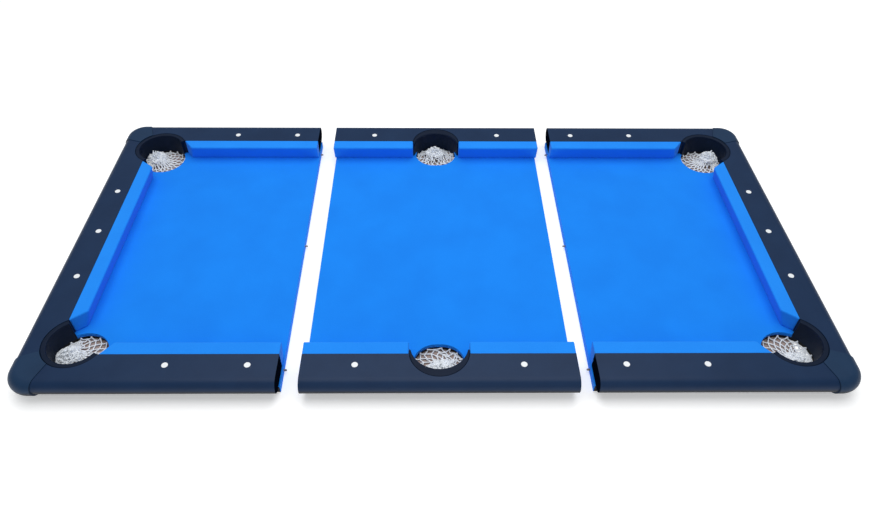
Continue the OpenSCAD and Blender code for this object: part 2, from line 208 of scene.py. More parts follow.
# %% [markdown]
# ## Floor
# The floor is a plain sheet, just under the boards. It is burnt out to white all round, as in
# a product picture, and is grey-brown only in patches that show through the nets. The patches
# don't move with the sections, so they end where a closed end section still covers them.

# %% Floor
FLOOR_Z = -0.3 * MM
FLOOR_GLOW = 0.35
floor = make_object(
    "floor",
    [(x * FLOOR_HALF, y * FLOOR_HALF, FLOOR_Z) for x, y in ((-1, -1), (1, -1), (1, 1), (-1, 1))],
    [(0, 1, 2, 3)],
    smooth=False,
)
floor_finish, _, floor_shader = new_material("pale_floor_paint", "#f4f4f3", 0.8)
floor_shader.inputs["Emission Color"].default_value = linear("#ffffff")
floor_shader.inputs["Emission Strength"].default_value = FLOOR_GLOW
floor.data.materials.append(floor_finish)
print("floor laid")

# %% Patches under the pockets
PATCH_MARGIN = 12 * MM
PATCH_Z = -0.15 * MM
PATCH_STEPS = 40
CLOSING_TRAVEL = 54 * MM
patch_reach = high("right_bed_cloth").x - CLOSING_TRAVEL
patch_points, patch_faces = [], []
for side in SECTIONS:
    for row in ROWS:
        net = f"{side}_{row}_net"
        ring = (low(net) + high(net)) / 2
        patch_r = (high(net).y - low(net).y) / 2 + PATCH_MARGIN
        first = len(patch_points)
        for k in range(PATCH_STEPS):
            turn = 2 * math.pi * k / PATCH_STEPS
            x = ring.x + patch_r * math.cos(turn)
            y = ring.y + patch_r * math.sin(turn)
            patch_points.append((min(max(x, -patch_reach), patch_reach), y, PATCH_Z))
        patch_faces.append(tuple(range(first, first + PATCH_STEPS)))
patches = make_object("floor_under_pockets", patch_points, patch_faces, smooth=False)
patch_finish, _, _ = new_material("grey_brown_floor", "#9c8a84", 0.85)
patches.data.materials.append(patch_finish)
print(len(patch_faces), "darker patches under the pockets")

# %% [markdown]
# ## Bed cloth and cushion cloth
# Napped pool cloth: a wool and nylon weave, brushed so that short fibres lie over it. It is
# matt, with a faint sheen at grazing angles, and its colour drifts slightly where the nap
# lies differently. The threads are about 0.6 mm apart, which is too fine to show, so the
# weave is drawn at 1.6 mm, and the nap as a noise a few millimetres wide.


# %% Napped cloth
def napped_cloth(name, colour, shade, bright):
    material, tree, shader = new_material(name, colour, 0.86, Sheen_Weight=0.05, Sheen_Roughness=0.45)
    shader.inputs["Specular IOR Level"].default_value = 0.06
    place = add(tree, "ShaderNodeTexCoord").outputs["Object"]
    drift = add(tree, "ShaderNodeTexNoise", Vector=place, Scale=9.0, Detail=3.0, Roughness=0.5)
    nap = add(tree, "ShaderNodeTexNoise", Vector=place, Scale=420.0, Detail=4.0, Roughness=0.7)
    warp = add(
        tree, "ShaderNodeTexWave", {"bands_direction": "X"}, Vector=place, Scale=196.0, Distortion=1.2
    )
    weft = add(
        tree, "ShaderNodeTexWave", {"bands_direction": "Y"}, Vector=place, Scale=196.0, Distortion=1.2
    )
    weave = add(
        tree,
        "ShaderNodeMath",
        {"operation": "MULTIPLY"},
        i0=warp.outputs["Fac"],
        i1=weft.outputs["Fac"],
    )
    soft_drift = add(
        tree, "ShaderNodeMapRange", Value=drift.outputs["Fac"], From_Min=0.35, From_Max=0.65
    )
    base = blend_colours(tree, soft_drift.outputs["Result"], shade, colour)
    fibre = add(
        tree,
        "ShaderNodeMapRange",
        Value=nap.outputs["Fac"],
        From_Min=0.3,
        From_Max=0.75,
        To_Max=0.35,
    )
    coloured = blend_colours(tree, fibre.outputs["Result"], base, bright)
    tree.links.new(coloured, shader.inputs["Base Color"])
    height = add(
        tree,
        "ShaderNodeMath",
        {"operation": "MULTIPLY_ADD"},
        i0=weave.outputs[0],
        i1=0.4,
        i2=nap.outputs["Fac"],
    )
    bump = add(tree, "ShaderNodeBump", Height=height.outputs[0], Strength=0.35, Distance=0.25 * MM)
    tree.links.new(bump.outputs["Normal"], shader.inputs["Normal"])
    return material


bed_cloth_finish = napped_cloth("blue_napped_bed_cloth", "#1683ef", "#147de8", "#2a8ff6")
cushion_cloth_finish = napped_cloth("blue_napped_cushion_cloth", "#2089f2", "#1e84ed", "#3296f8")
print(bed_cloth_finish.name, cushion_cloth_finish.name)

# %% [markdown]
# ## Rails, caps and liners
# The rails are fibreboard in a black vinyl foil, pressed with a fine grain, so they are
# satin. The caps and liners are moulded in black plastic with a spark-eroded texture: fine,
# even and a little duller. A face that looks down or straight out is given a darker tone than
# one that looks up: this is painted shade. The foil stops at the rails' cut ends, which are
# made flat black: partly the bare ends' own dark colour, partly painted shade where the
# sections face each other.


# %% Black foil and moulded plastic
def grained_black(name, colour, worn, roughness, grain_mm, depth, shine, shade_below="", dark_ends=False):
    material, tree, shader = new_material(name, colour, roughness)
    shader.inputs["Specular IOR Level"].default_value = shine
    place = add(tree, "ShaderNodeTexCoord").outputs["Object"]
    cells = add(tree, "ShaderNodeTexVoronoi", Vector=place, Scale=1 / (grain_mm * MM), Randomness=1.0)
    cloud = add(tree, "ShaderNodeTexNoise", Vector=place, Scale=14.0, Detail=4.0, Roughness=0.6)
    fine = add(tree, "ShaderNodeTexNoise", Vector=place, Scale=260.0, Detail=3.0)
    tone = add(tree, "ShaderNodeMapRange", Value=cloud.outputs["Fac"], From_Min=0.3, From_Max=0.7)
    base = blend_colours(tree, tone.outputs["Result"], colour, worn)
    rough = add(
        tree,
        "ShaderNodeMapRange",
        Value=fine.outputs["Fac"],
        To_Min=roughness - 0.05,
        To_Max=roughness + 0.07,
    )
    tree.links.new(rough.outputs["Result"], shader.inputs["Roughness"])
    if dark_ends:
        facing = add(tree, "ShaderNodeTexCoord").outputs["Normal"]
        across = add(tree, "ShaderNodeSeparateXYZ", Vector=facing)
        flat = add(tree, "ShaderNodeMath", {"operation": "ABSOLUTE"}, i0=across.outputs["X"])
        cut = add(tree, "ShaderNodeMath", {"operation": "GREATER_THAN"}, i0=flat.outputs[0], i1=0.995)
        # Cut ends go flat black: partly the bare ends' own dark colour, partly painted shade where the sections
        # face each other.
        base = blend_colours(tree, cut.outputs[0], base, "#06070b")
        dull = add(tree, "ShaderNodeMapRange", Value=cut.outputs[0], To_Min=shine, To_Max=0.0)
        tree.links.new(dull.outputs["Result"], shader.inputs["Specular IOR Level"])
    # Faces that look down or straight out blend to the darker colour: painted shade.
    if shade_below:
        lean = add(tree, "ShaderNodeSeparateXYZ", Vector=add(tree, "ShaderNodeTexCoord").outputs["Normal"])
        downward_shade = add(tree, "ShaderNodeMapRange", Value=lean.outputs["Z"], From_Min=0.2, From_Max=-0.2)
        base = blend_colours(tree, downward_shade.outputs["Result"], base, shade_below)
    tree.links.new(base, shader.inputs["Base Color"])
    bump = add(tree, "ShaderNodeBump", Height=cells.outputs["Distance"], Strength=depth, Distance=0.2 * MM)
    tree.links.new(bump.outputs["Normal"], shader.inputs["Normal"])
    return material


foil_finish = grained_black("black_vinyl_foil", "#0c2747", "#112c4d", 0.42, 1.1, 0.25, 0.2, "#050e1c")
side_foil_finish = grained_black(
    "black_vinyl_foil_with_cut_ends", "#0c2747", "#112c4d", 0.42, 1.1, 0.25, 0.2, "#050e1c", dark_ends=True
)
cap_finish = grained_black("black_moulded_plastic", "#102e4c", "#153352", 0.46, 0.7, 0.3, 0.22, "#06101f")
liner_finish = grained_black("black_moulded_liner_plastic", "#07162b", "#0a1a31", 0.5, 0.8, 0.3, 0.13)
print(foil_finish.name, cap_finish.name, liner_finish.name)

# %% [markdown]
# ## Board, sights, metal and rubber
# The boards are taken to be medium-density fibreboard: pressed fibres, matt and brown.
# Every upright face of a board, at its cut edges and in its holes, is made near black:
# painted shade, as these faces lie under the rails and rims, and in part a guessed dark
# edge of the board. The sights are white acrylic. The pins are bright steel that has begun
# to tarnish, and the screws are zinc plated.


# %% Board, sights, metal and rubber
def fibreboard(name):
    material, tree, shader = new_material(name, "#8a6f52", 0.9)
    place = add(tree, "ShaderNodeTexCoord").outputs["Object"]
    fibres = add(tree, "ShaderNodeTexNoise", Vector=place, Scale=900.0, Detail=5.0, Roughness=0.75)
    blotch = add(tree, "ShaderNodeTexNoise", Vector=place, Scale=30.0, Detail=2.0)
    base = blend_colours(tree, fibres.outputs["Fac"], "#6f573f", "#a58a6b")
    mixed = blend_colours(tree, blotch.outputs["Fac"], base, "#86694b")
    # Upright faces are made near black: painted shade under the rails and rims, and in part a guessed dark edge of
    # the board.
    facing = add(tree, "ShaderNodeSeparateXYZ", Vector=add(tree, "ShaderNodeTexCoord").outputs["Normal"])
    flat = add(tree, "ShaderNodeMath", {"operation": "ABSOLUTE"}, i0=facing.outputs["Z"])
    edge = add(tree, "ShaderNodeMath", {"operation": "LESS_THAN"}, i0=flat.outputs[0], i1=0.5)
    mixed = blend_colours(tree, edge.outputs[0], mixed, "#0b0d13")
    tree.links.new(mixed, shader.inputs["Base Color"])
    bump = add(tree, "ShaderNodeBump", Height=fibres.outputs["Fac"], Strength=0.3, Distance=0.1 * MM)
    tree.links.new(bump.outputs["Normal"], shader.inputs["Normal"])
    return material


def mottled(name, colour, other, roughness, size_mm, **extra):
    material, tree, shader = new_material(name, colour, roughness, **extra)
    place = add(tree, "ShaderNodeTexCoord").outputs["Object"]
    spots = add(tree, "ShaderNodeTexNoise", Vector=place, Scale=1 / (size_mm * MM), Detail=4.0)
    tone = add(tree, "ShaderNodeMapRange", Value=spots.outputs["Fac"], From_Min=0.35, From_Max=0.7)
    base = blend_colours(tree, tone.outputs["Result"], colour, other)
    tree.links.new(base, shader.inputs["Base Color"])
    bump = add(tree, "ShaderNodeBump", Height=spots.outputs["Fac"], Strength=0.08, Distance=0.1 * MM)
    tree.links.new(bump.outputs["Normal"], shader.inputs["Normal"])
    return material


board_finish = fibreboard("medium_density_fibreboard")
sight_finish = mottled("white_acrylic", "#eef1f3", "#e6eaee", 0.25, 3.0)
pin_finish = mottled("tarnished_steel", "#a9a49b", "#7c6a58", 0.35, 1.5, Metallic=1.0)
screw_finish = mottled("zinc_plated_steel", "#b9bcc0", "#9fa3a8", 0.3, 2.0, Metallic=1.0)
rubber_finish = mottled("black_cushion_rubber", "#17181b", "#202226", 0.8, 4.0)
print("board, sight, pin, screw and rubber finishes")

# %% [markdown]
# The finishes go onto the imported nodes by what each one's name says it is.

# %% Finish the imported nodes
NODE_FINISHES = {
    "_board": board_finish,
    "_cloth": bed_cloth_finish,
    "end_rail": foil_finish,
    "_rail": side_foil_finish,
    "_core": rubber_finish,
    "_cap": cap_finish,
    "_liner": liner_finish,
    "sights": sight_finish,
    "_pins": pin_finish,
    "_screws": screw_finish,
}

for name, node in nodes.items():
    finish = next((f for end, f in NODE_FINISHES.items() if name.endswith(end)), None)
    if finish:
        node.data.materials.clear()
        node.data.materials.append(finish)
print("nodes with a finish:", sum(bool(n.data.materials) for n in nodes.values()))

# %% [markdown]
# ## Bed cloths
# Each bed is wrapped in one sheet of cloth, glued down, which turns over the joint's edge and
# into the pocket holes. A simulation would give back the board's own shape, so the sheet is
# made from the imported one: its triangles are merged, and every outer edge along its top is
# rolled over a small radius, as cloth does not fold sharply. Its top is pressed down a little,
# and at a joint it is pulled tight, so that the middle rails slide over it when two sections
# are closed.


# %% Bed cloths
EDGE_ROLL = 0.9 * MM
JOINT_PULL = 0.3 * MM
PRESSED = 0.12 * MM


def copy_of_node(name, node, first_x, last_x):
    """A node's mesh as a new object: merged, its edges rolled, and kept between two x values."""
    mesh = nodes[node].data.copy()
    mesh.name = name
    piece = bpy.data.objects.new(name, mesh)
    bpy.context.collection.objects.link(piece)
    shape = bmesh.new()
    shape.from_mesh(mesh)
    bmesh.ops.remove_doubles(shape, verts=shape.verts, dist=1e-6)
    bmesh.ops.dissolve_limit(
        shape, angle_limit=math.radians(0.3), verts=shape.verts, edges=shape.edges, delimit={"NORMAL"}
    )
    rolled = [
        edge
        for edge in shape.edges
        if len(edge.link_faces) == 2
        and edge.is_convex
        and edge.calc_face_angle(0) > math.radians(60)
        and min(v.co.z for v in edge.verts) > cloth_top - 0.05 * MM
    ]
    bmesh.ops.bevel(shape, geom=rolled, offset=EDGE_ROLL, segments=3, profile=0.5, affect="EDGES")
    bmesh.ops.triangulate(shape, faces=[f for f in shape.faces if len(f.verts) > 4])
    for corner in shape.verts:
        corner.co.x = min(max(corner.co.x, first_x), last_x)
        corner.co.z = min(corner.co.z, cloth_top - PRESSED)
    shape.to_mesh(mesh)
    shape.free()
    mesh.materials.clear()
    mesh.attributes.remove(mesh.attributes["custom_normal"]) if "custom_normal" in mesh.attributes else None
    return piece


BED_CLOTHS = {"left": (0.545, 0.86), "middle": (0.606, 0.86), "right": (0.545, 0.86)}
for side, flat in BED_CLOTHS.items():
    node = side + "_bed_cloth"
    first_x = low(node).x + JOINT_PULL * (side != "left")
    last_x = high(node).x - JOINT_PULL * (side != "right")
    cloth = copy_of_node(side + "_bed_cloth_sheet", node, first_x, last_x)
    cloth.data.materials.append(bed_cloth_finish)
    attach(cloth, SECTIONS[side])
    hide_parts(node)
    print(cloth.name, len(cloth.data.polygons), "faces")

# %% [markdown]
# ## Cushions
# A cushion is a strip of rubber in the same cloth, pulled tight. Its section has a flat top,
# a round nose and a face that leans back down to the bed. Beside a pocket the end is cut
# across at a slant, and the cloth is drawn round it. The section is swept in rings, and the
# rings shrink towards each end along a quarter circle, so every edge is soft.

# %% Section of a cushion
UNDERCUT = 10.5 * MM
NOSE_R = 4 * MM
FACING_RUN = 26 * MM
ARC_STEPS = 6
lean = math.atan2(UNDERCUT - NOSE_R, cushion_h - NOSE_R)
lean += math.asin(NOSE_R / math.hypot(UNDERCUT - NOSE_R, cushion_h - NOSE_R))
foot = cushion_w - UNDERCUT
SECTION = [(0, 0), (foot, 0), (foot + cushion_h * math.tan(lean), cushion_h), (0, cushion_h)]
SECTION_RADII = [0.8 * MM, 1.5 * MM, NOSE_R, 1.6 * MM]


def inset_corners(corners, inset):
    """The corners of a convex outline whose edges have all moved in by inset."""
    lines = []
    for a, b in zip(corners, corners[1:] + corners[:1]):
        way = (Vector(b) - Vector(a)).normalized()
        lines.append((Vector(a) + inset * Vector((-way.y, way.x)), way))
    moved = []
    for (p, d), (q, e) in zip(lines[-1:] + lines[:-1], lines):
        cross = d.x * e.y - d.y * e.x
        moved.append(p + d * (((q.x - p.x) * e.y - (q.y - p.y) * e.x) / cross))
    return moved


def rounded_outline(corners, radii, between=5):
    """Points round a convex outline: an arc at each corner, and a few along each side."""
    arcs = []
    count = len(corners)
    for i, corner in enumerate(corners):
        before = (corners[i - 1] - corner).normalized()
        after = (corners[(i + 1) % count] - corner).normalized()
        half = before.angle(after) / 2
        centre = corner + (before + after).normalized() * (radii[i] / math.sin(half))
        start = corner + before * (radii[i] / math.tan(half)) - centre
        turn = math.pi - 2 * half
        arcs.append(
            [centre + Matrix.Rotation(turn * k / ARC_STEPS, 2) @ start for k in range(ARC_STEPS + 1)]
        )
    points = []
    for arc, following in zip(arcs, arcs[1:] + arcs[:1]):
        points += arc
        points += [arc[-1].lerp(following[0], k / between) for k in range(1, between)]
    return points


def section_outline(inset):
    radii = [max(r - inset, 0.15 * MM) for r in SECTION_RADII]
    return rounded_outline(inset_corners([Vector(c) for c in SECTION], inset), radii)


print(f"cushion face leans {math.degrees(lean):.1f} degrees, {len(section_outline(0))} points round")

# %% [markdown]
# The strip runs along its rail from one end to the other. A ring lies at a distance in from
# both ends, so a slanted end stays slanted all the way through the rounding.

# %% Cushions
END_ROLL = {"pocket": 3.6 * MM, "joint": 1.6 * MM}
RING_PITCH = 14 * MM
WAVE = 0.16 * MM


def cushion(name, start, end, place, seed):
    """start and end are (where it meets the rail, where its nose stops, kind of end)."""
    noise = np.random.default_rng(seed)
    rings = []
    for k in range(ARC_STEPS + 1):
        turn = math.pi / 2 * k / ARC_STEPS
        for which, (_, _, kind) in (("start", start), ("end", end)):
            roll = END_ROLL[kind]
            rings.append((which, roll * (1 - math.cos(turn)), roll * (1 - math.sin(turn))))
    span = end[0] - start[0]
    steps = max(int(span / RING_PITCH), 4)
    first = sorted((r for r in rings if r[0] == "start"), key=lambda r: r[1])
    last = sorted((r for r in rings if r[0] == "end"), key=lambda r: -r[1])
    middle = [("between", k / steps, 0) for k in range(1, steps)]
    swell = noise.normal(0, WAVE, (steps + 1, 3))
    points, faces, around = [], [], 0
    for which, along, inset in first + middle + last:
        outline = section_outline(inset)
        around = len(outline)
        for out, up in outline:
            share = out / cushion_w
            from_start = start[0] + (start[1] - start[0]) * share
            from_end = end[0] + (end[1] - end[0]) * share
            if which == "start":
                at = from_start + along
            elif which == "end":
                at = from_end - along
            else:
                begin = from_start + END_ROLL[start[2]]
                at = begin + (from_end - END_ROLL[end[2]] - begin) * along
                wave = swell[int(along * steps)]
                out -= abs(wave[0]) * (up > cushion_h * 0.2) * (out > foot * 0.5)
                up -= abs(wave[1]) * (up > cushion_h * 0.9) * share
            points.append(place(at, out, up))
    ring_count = len(first) + len(middle) + len(last)
    for ring in range(ring_count - 1):
        for k in range(around):
            a, b = ring * around + k, ring * around + (k + 1) % around
            faces.append((a, b, b + around, a + around))
    faces.append(tuple(range(around)))
    faces.append(tuple(range((ring_count - 1) * around, ring_count * around)))
    piece = make_object(name, points, faces)
    shape = bmesh.new()
    shape.from_mesh(piece.data)
    bmesh.ops.recalc_face_normals(shape, faces=shape.faces)
    shape.to_mesh(piece.data)
    shape.free()
    for face in piece.data.polygons:
        face.use_smooth = len(face.vertices) == 4
    piece.data.materials.append(cushion_cloth_finish)
    return piece


def lengthways(row):
    """Places a point of a cushion that lies along a front or rear rail."""
    sign = ROWS[row]
    return lambda at, out, up: (at, sign * (rail_y - out), cloth_top + up)


def crossways(rail_x, sign):
    """Places a point of a cushion that lies along an end rail."""
    return lambda at, out, up: (rail_x - sign * out, at, cloth_top + up)


def finish_cushion(piece, node, side):
    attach(piece, SECTIONS[side])
    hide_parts(node)


seed = 0
for row in ROWS:
    for side in ("left", "right"):
        node = f"{side}_{row}_cushion_cloth"
        x0, x1 = low(node).x, high(node).x
        joint_first = side == "right"
        start = (x0, x0, "joint") if joint_first else (x0, x0 + FACING_RUN, "pocket")
        end = (x1, x1 - FACING_RUN, "pocket") if joint_first else (x1, x1, "joint")
        seed += 1
        finish_cushion(cushion(f"{side}_{row}_cushion", start, end, lengthways(row), seed), node, side)
        node = f"middle_{row}_{side}_cushion_cloth"
        x0, x1 = low(node).x, high(node).x
        start = (x0, x0, "joint" if side == "left" else "pocket")
        end = (x1, x1, "pocket" if side == "left" else "joint")
        seed += 1
        finish_cushion(
            cushion(f"middle_{row}_{side}_cushion", start, end, lengthways(row), seed), node, "middle"
        )

for side, sign in (("left", -1), ("right", 1)):
    node = side + "_end_cushion_cloth"
    y0, y1 = low(node).y, high(node).y
    rail_x = high(node).x if sign > 0 else low(node).x
    start = (y0, y0 + FACING_RUN, "pocket")
    end = (y1, y1 - FACING_RUN, "pocket")
    seed += 1
    finish_cushion(cushion(side + "_end_cushion", start, end, crossways(rail_x, sign), seed), node, side)
print(seed, "cushions")

# %% [markdown]
# ## Nets
# Under each pocket hangs a small bag of cotton string, knotted into diamonds. Here the
# sections lie on a surface, so the bags are pushed up inside their holes and fold into a
# heap. A net is strings and nothing between, so it is simulated as knots and short links:
# every link keeps its length, gravity pulls, the floor, the hole and the other strings push
# back. The heap is guided: the bag's end is drawn to a chosen place, and an unseen mound
# there, a little different for each point, stands in for the string underneath. All lengths
# in the simulation are millimetres.

# %% The knotted lattice
NET_COLUMNS = 16
NET_LEVELS = 10
HEAP_FROM = 5
LINKS = 3
STRAND = 13.4
STRING_R = 1.5
KNOT_SIZE = 1.5
MOUND_R = 33
SHALLOW = 0.3
PILE_GAP = 0.6
LATTICE_SIZE = NET_COLUMNS * (NET_LEVELS + 1)


def net_strands():
    """Pairs of knots. Each row is half a cell round from the row before."""
    strands = []
    for level in range(NET_LEVELS):
        for column in range(NET_COLUMNS):
            other = (column + (1 if level % 2 else -1)) % NET_COLUMNS
            knot = level * NET_COLUMNS
            strands += [
                (knot + column, knot + NET_COLUMNS + column),
                (knot + column, knot + NET_COLUMNS + other),
            ]
    return strands


def hung_knots(radius, spread, ring_z, heap):
    """Where the knots start: a cone that rises from the hole's edge to above the heap."""
    knots = np.zeros((LATTICE_SIZE, 3))
    for level in range(NET_LEVELS + 1):
        up = level / NET_LEVELS
        turn = 2 * np.pi * (np.arange(NET_COLUMNS) + 0.5 * (level % 2)) / NET_COLUMNS
        reach = (radius - STRING_R) * (1 - up) + 9 * up
        row = knots[level * NET_COLUMNS : (level + 1) * NET_COLUMNS]
        row[:, 0] = heap[0] * up + reach * np.cos(turn) + np.sign(np.cos(turn)) * spread * (1 - up)
        row[:, 1] = heap[1] * up + reach * np.sin(turn)
        row[:, 2] = ring_z + 105 * up
    return knots


def split_strands(knots, strands):
    """Adds the points between knots. Returns all points and each strand's chain of them."""
    chains, between = [], []
    for a, b in strands:
        chain = [a]
        for k in range(1, LINKS):
            between.append(knots[a] + (knots[b] - knots[a]) * k / LINKS)
            chain.append(len(knots) + len(between) - 1)
        chains.append(chain + [b])
    return np.vstack([knots, between]), chains


print(len(net_strands()), "strands between", LATTICE_SIZE, "knots")

# %% [markdown]
# One pass of the solver moves the two ends of every link towards its proper length. Links
# that fold back on themselves are opened a little, as string doesn't crease.


# %% One pass of the solver
def share_out(points, pairs, moves, counts, weight, ease):
    """Adds half of each pair's move to one end and takes it from the other."""
    push = np.zeros_like(points)
    np.add.at(push, pairs[:, 0], moves)
    np.add.at(push, pairs[:, 1], -moves)
    return points + push / np.maximum(counts, 1)[:, None] * weight[:, None] * ease


def span_of(points, pairs):
    gap = points[pairs[:, 1]] - points[pairs[:, 0]]
    return gap, np.linalg.norm(gap, axis=1, keepdims=True) + 1e-9


def keep_in_hole(points, radius, spread, heap, heap_z, depth):
    """Floor underneath with the mound of crumpled string on it, and the hole's wall around."""
    away = np.hypot(points[:, 0] - heap[0], points[:, 1] - heap[1]) / MOUND_R
    mound = heap_z * depth * np.clip(1 - away**2, 0, 1) ** 0.8
    points[:, 2] = np.maximum(points[:, 2], STRING_R * KNOT_SIZE + 0.1 + mound)
    beyond = np.sign(points[:, 0]) * np.maximum(np.abs(points[:, 0]) - spread, 0)
    reach = np.hypot(beyond, points[:, 1])
    scale = np.minimum((radius - STRING_R) / np.maximum(reach, 1e-6), 1)
    points[:, 0] += beyond * (scale - 1)
    points[:, 1] *= scale


def push_apart(points, near, weight):
    """Strings that touch push each other away."""
    gap, length = span_of(points, near)
    room = 2 * STRING_R + PILE_GAP
    touching = (length < room)[:, 0]
    if not touching.any():
        return points
    pairs, gap, length = near[touching], gap[touching], length[touching]
    moves = -gap / length * (room - length) * 0.4
    counts = np.bincount(pairs.ravel(), minlength=len(points))
    return share_out(points, pairs, moves, counts, weight, 1.5)


print("solver ready")

# %% Fold a net
STEPS = 360
PASSES = 9
GRAVITY = 0.22
DRAG = 0.93
GATHER_R = 10
HEAP_R = 25


def fold_net(radius, spread, ring_z, heap, heap_z, seed):
    noise = np.random.default_rng(seed)
    points, chains = split_strands(hung_knots(radius, spread, ring_z, heap), net_strands())
    ring = points[:NET_COLUMNS].copy()
    points += noise.normal(0, 0.6, points.shape)
    depth = noise.uniform(SHALLOW, 1, len(points))
    points[:NET_COLUMNS] = ring
    weight = np.ones(len(points))
    weight[:NET_COLUMNS] = 0
    links = np.array([pair for chain in chains for pair in zip(chain, chain[1:])])
    folds = np.array([pair for chain in chains for pair in zip(chain, chain[2:])])
    link_counts = np.bincount(links.ravel(), minlength=len(points))
    fold_counts = np.bincount(folds.ravel(), minlength=len(points))
    rest = STRAND / LINKS
    gathered = np.arange(NET_LEVELS * NET_COLUMNS, LATTICE_SIZE)
    in_heap = np.array([chain[0] >= HEAP_FROM * NET_COLUMNS for chain in chains])
    heaped = np.unique([i for chain, inside in zip(chains, in_heap) if inside for i in chain])
    top_z = points[gathered, 2].mean()
    last = points.copy()
    near = np.empty((0, 2), int)
    for step in range(STEPS):
        lowered = min(step / (STEPS * 0.55), 1)
        moved = points + (points - last) * DRAG
        moved[:, 2] -= GRAVITY
        moved[:NET_COLUMNS] = ring
        last, points = points, moved
        for _ in range(PASSES):
            gap, length = span_of(points, links)
            points = share_out(points, links, gap * (1 - rest / length) * 0.5, link_counts, weight, 1.7)
            gap, length = span_of(points, folds)
            open_up = np.minimum(1 - 1.75 * rest / length, 0)
            points = share_out(points, folds, gap * open_up * 0.5, fold_counts, weight, 1.0)
            keep_in_hole(points, radius, spread, heap, heap_z * lowered, depth)
            points[:NET_COLUMNS] = ring
        target = np.array([heap[0], heap[1], top_z * (1 - lowered) + (heap_z + 3) * lowered])
        off = points[gathered] - points[gathered].mean(0)
        reach = np.maximum(np.linalg.norm(off, axis=1, keepdims=True), 1e-6)
        points[gathered] += 0.25 * (target - points[gathered].mean(0))
        points[gathered] -= off * np.maximum(1 - GATHER_R / reach, 0) * 0.5
        off = points[heaped, :2] - np.array(heap)
        reach = np.maximum(np.linalg.norm(off, axis=1, keepdims=True), 1e-6)
        points[heaped, :2] -= off * np.maximum(1 - HEAP_R / reach, 0) * 0.5
        if step > 50 and step % 2 == 0:
            if step % 6 == 2 or not len(near):
                square = (points**2).sum(1)
                distance = square[:, None] + square[None, :] - 2 * points @ points.T
                near = np.argwhere(np.triu(distance < (2 * STRING_R + 3) ** 2, 1))
            points = push_apart(points, near, weight)
    return points, chains


print("nets take", STEPS, "steps each")

# %% [markdown]
# A Geometry Nodes tree turns the bare links into string: the links become curves, the curves
# become tubes, and a small ball goes on each knot. The distance along and the way around
# each tube are stored, so that the finish can draw the twist.

# %% Tree for the string
string_tree = bpy.data.node_groups.new("knotted_string", "GeometryNodeTree")
string_inputs = {}
string_tree.interface.new_socket("Geometry", in_out="INPUT", socket_type="NodeSocketGeometry")
for label in ("String Radius", "Knot Radius", "Step"):
    string_inputs[label] = string_tree.interface.new_socket(
        label, in_out="INPUT", socket_type="NodeSocketFloat"
    ).identifier
string_inputs["Material"] = string_tree.interface.new_socket(
    "Material", in_out="INPUT", socket_type="NodeSocketMaterial"
).identifier
string_tree.interface.new_socket("Geometry", in_out="OUTPUT", socket_type="NodeSocketGeometry")

given = add(string_tree, "NodeGroupInput")
lines = add(string_tree, "GeometryNodeMeshToCurve", Mesh=given.outputs["Geometry"])
curved = add(
    string_tree, "GeometryNodeCurveSplineType", {"spline_type": "CATMULL_ROM"}, Curve=lines.outputs[0]
)
stepped = add(
    string_tree,
    "GeometryNodeResampleCurve",
    {"mode": "LENGTH"},
    Curve=curved.outputs[0],
    Length=given.outputs["Step"],
)
place_along = add(string_tree, "GeometryNodeSplineParameter")
marked = add(
    string_tree,
    "GeometryNodeStoreNamedAttribute",
    {"data_type": "FLOAT", "domain": "POINT"},
    Geometry=stepped.outputs[0],
    Name="along",
    i3=place_along.outputs["Length"],
)
circle = add(
    string_tree, "GeometryNodeCurvePrimitiveCircle", Resolution=6, Radius=given.outputs["String Radius"]
)
place_around = add(string_tree, "GeometryNodeSplineParameter")
marked_circle = add(
    string_tree,
    "GeometryNodeStoreNamedAttribute",
    {"data_type": "FLOAT", "domain": "POINT"},
    Geometry=circle.outputs[0],
    Name="around",
    i3=place_around.outputs["Factor"],
)
tubes = add(
    string_tree,
    "GeometryNodeCurveToMesh",
    Curve=marked.outputs[0],
    Profile_Curve=marked_circle.outputs[0],
    Fill_Caps=True,
)
is_knot = add(string_tree, "GeometryNodeInputNamedAttribute", {"data_type": "BOOLEAN"}, Name="knot")
ball = add(
    string_tree, "GeometryNodeMeshUVSphere", Segments=8, Rings=5, Radius=given.outputs["Knot Radius"]
)
turned = add(
    string_tree, "FunctionNodeRandomValue", {"data_type": "FLOAT_VECTOR"}, i0=(0, 0, 0), i1=(6.3, 6.3, 6.3), Seed=4
)
knots = add(
    string_tree,
    "GeometryNodeInstanceOnPoints",
    Points=given.outputs["Geometry"],
    Selection=is_knot.outputs[0],
    Instance=ball.outputs[0],
    Rotation=turned.outputs[0],
    Scale=(1, 1, 0.8),
)
joined = add(string_tree, "GeometryNodeJoinGeometry")
string_tree.links.new(knots.outputs[0], joined.inputs[0])
string_tree.links.new(tubes.outputs[0], joined.inputs[0])
solid = add(string_tree, "GeometryNodeRealizeInstances", Geometry=joined.outputs[0])
soft = add(string_tree, "GeometryNodeSetShadeSmooth", Geometry=solid.outputs[0])
dressed = add(
    string_tree, "GeometryNodeSetMaterial", Geometry=soft.outputs[0], Material=given.outputs["Material"]
)
add(string_tree, "NodeGroupOutput", Geometry=dressed.outputs[0])
print("string tree has", len(string_tree.nodes), "nodes")
